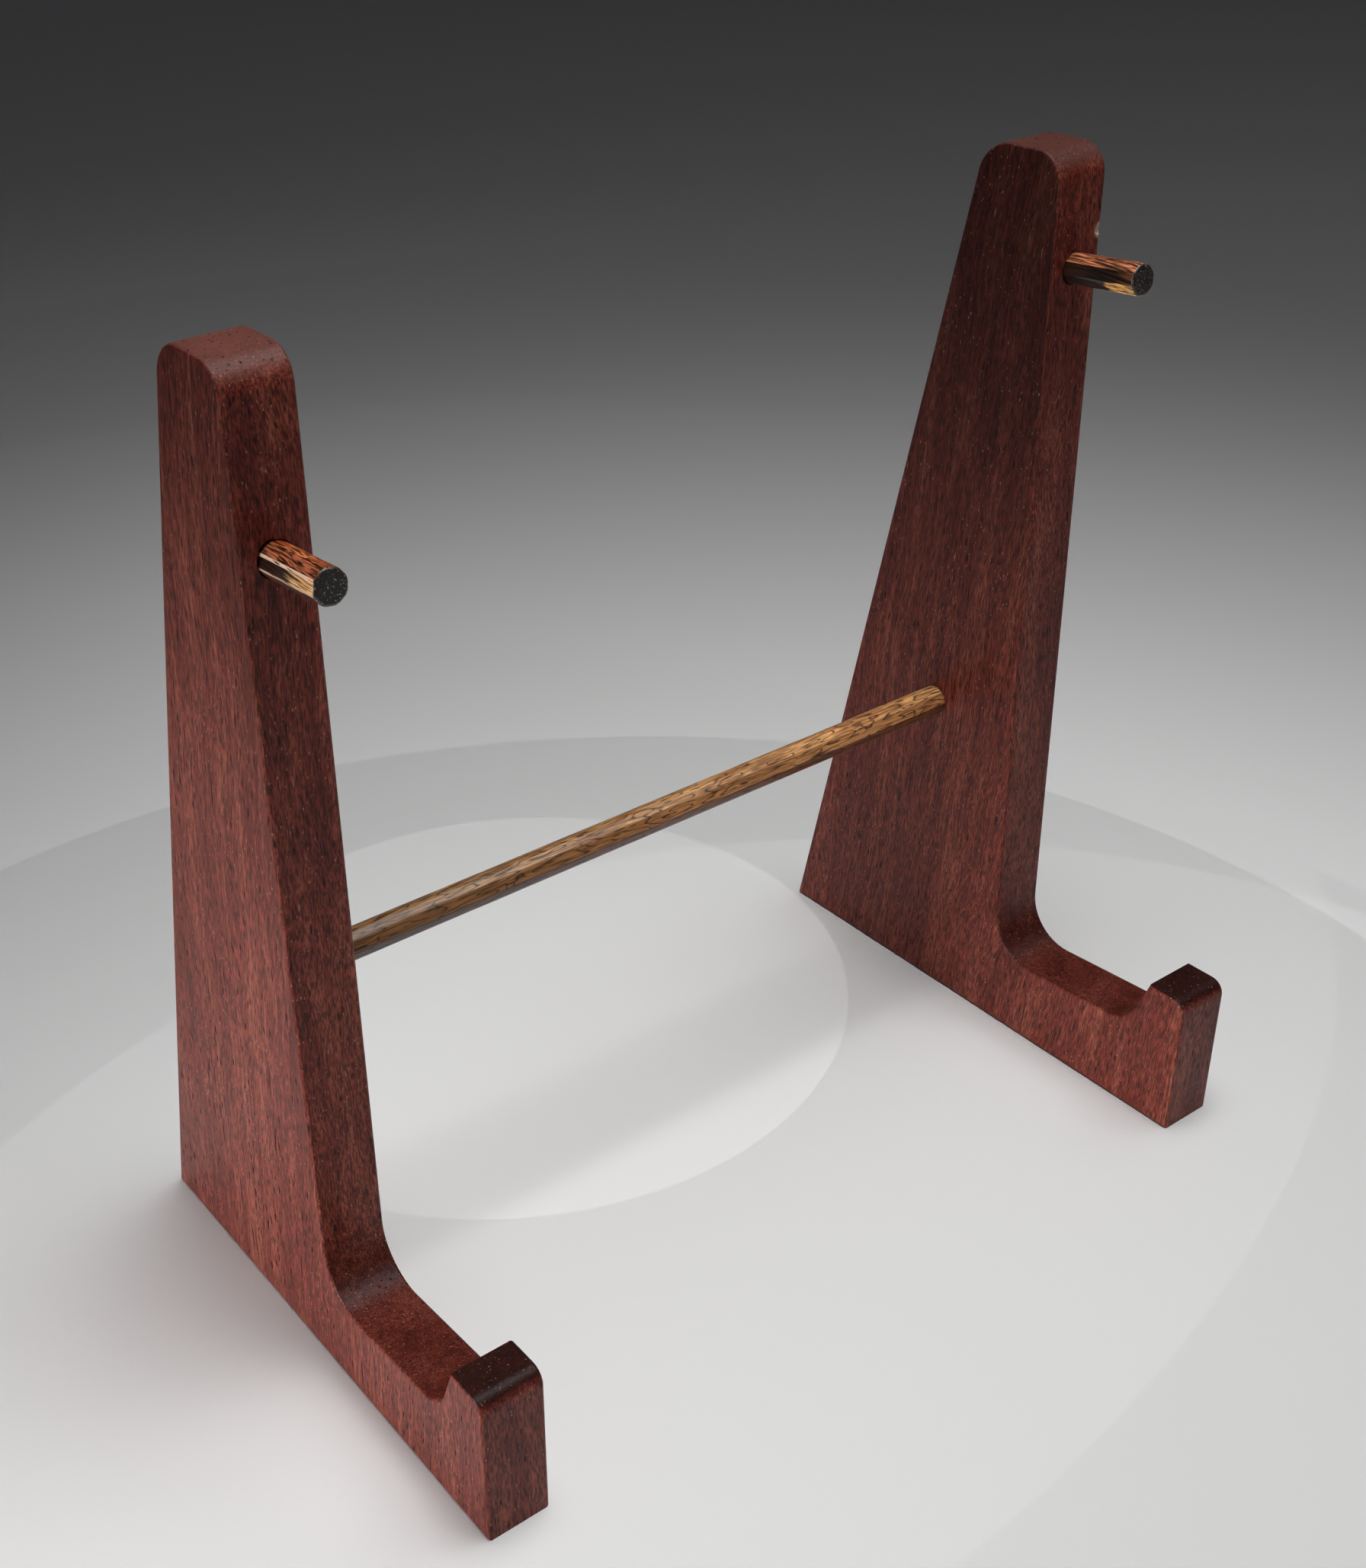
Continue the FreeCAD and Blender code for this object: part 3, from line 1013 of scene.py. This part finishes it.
lights = {                           # place, aim, size, power, spread in degrees
    "softbox_right": ((0.45, -0.10, 0.80), (0, 0, 0), (0.4, 0.4), 0.24, 180),
    "softbox_middle": ((0.10, -0.15, 0.55), (0, -0.03, 0), (0.35, 0.35), 0.25, 80),
    "softbox_pool": ((-0.02, -0.08, 0.80), (-0.02, -0.08, 0), (0.3, 0.3), 0.215, 55),
    "softbox_back": ((0, 0.25, 0.90), (0, 0.15, 0), (0.4, 0.4), 0.045, 70),
    "softbox_left": ((-0.42, -0.01, 0.13), (-0.08, 0, 0.02), (0.2, 0.12), 0.170, 50),
    "softbox_floor": ((-0.33, -0.08, 0.40), (-0.33, -0.08, 0), (0.25, 0.25), 0.27, 70),
}


def turnTowards(place, aim):
    return (Vector(aim) - Vector(place)).to_track_quat("-Z", "Y")


def addCamera():
    data = bpy.data.cameras.new("camera")
    data.sensor_width = studio["sensor"]
    data.lens = studio["lens"]
    data.shift_x, data.shift_y = studio["cameraShift"]
    data.clip_start = studio["nearestSeen"]
    camera = bpy.data.objects.new("camera", data)
    bpy.context.scene.collection.objects.link(camera)
    turn = turnTowards(studio["cameraPlace"], studio["cameraAim"]).to_matrix()
    roll = Matrix.Rotation(studio["cameraRoll"], 3, "Z")
    camera.rotation_euler = (turn @ roll).to_euler()
    camera.location = studio["cameraPlace"]
    bpy.context.scene.camera = camera


def addLight(name, place, aim, size, power, spread):
    data = bpy.data.lights.new(name, "AREA")
    data.shape = "RECTANGLE"
    data.size, data.size_y = size
    data.energy = power
    data.spread = math.radians(spread)
    light = bpy.data.objects.new(name, data)
    bpy.context.scene.collection.objects.link(light)
    light.visible_camera = False
    light.location = place
    light.rotation_euler = turnTowards(place, aim).to_euler()
    return light


def lightOnly(light, name, pieces):
    # the light falls on these pieces and on nothing else
    lit = bpy.data.collections.new(name)
    for piece in pieces:
        lit.objects.link(piece)
    light.light_linking.receiver_collection = lit


def addFloor():
    deselectAll()
    bpy.ops.mesh.primitive_plane_add(size=studio["floorSize"], location=(0, 0, 0))
    floor = bpy.context.active_object
    rename(floor, "floor")
    paper, _, shader = newMaterial("floor_paper")
    shader.inputs["Base Color"].default_value = (*studio["floorColor"], 1)
    shader.inputs["Roughness"].default_value = studio["floorRoughness"]
    paint(floor, paper)
    return floor


addCamera()
floor = addFloor()

lamps = {name: addLight(name, *values) for name, values in lights.items()}
lightOnly(lamps["softbox_left"], "holder", (*boards.values(), *pegs.values(), bar))
lightOnly(lamps["softbox_floor"], "ground", (floor,))
lamps["softbox_floor"].data.use_shadow = False   # evens out the paper, and only that


def makeWorld():
    # dim surroundings, and a backdrop that lightens upwards behind the floor
    world = bpy.data.worlds.new("studio")
    bpy.context.scene.world = world
    world.use_nodes = True
    tree = world.node_tree
    upward = addNode(tree, "ShaderNodeSeparateXYZ",
                     {"Vector": addNode(tree, "ShaderNodeTexCoord").outputs["Generated"]})
    seen = blendColor(tree, fade(tree, upward.outputs["Z"], *studio["backdropRise"]),
                      studio["horizon"], studio["backdrop"])
    toCamera = addNode(tree, "ShaderNodeLightPath").outputs["Is Camera Ray"]
    color = blendColor(tree, toCamera, studio["surround"], seen)
    tree.links.new(color, tree.nodes["Background"].inputs["Color"])


makeWorld()
bpy.context.scene.view_settings.view_transform = "Standard"

print("scene ready")
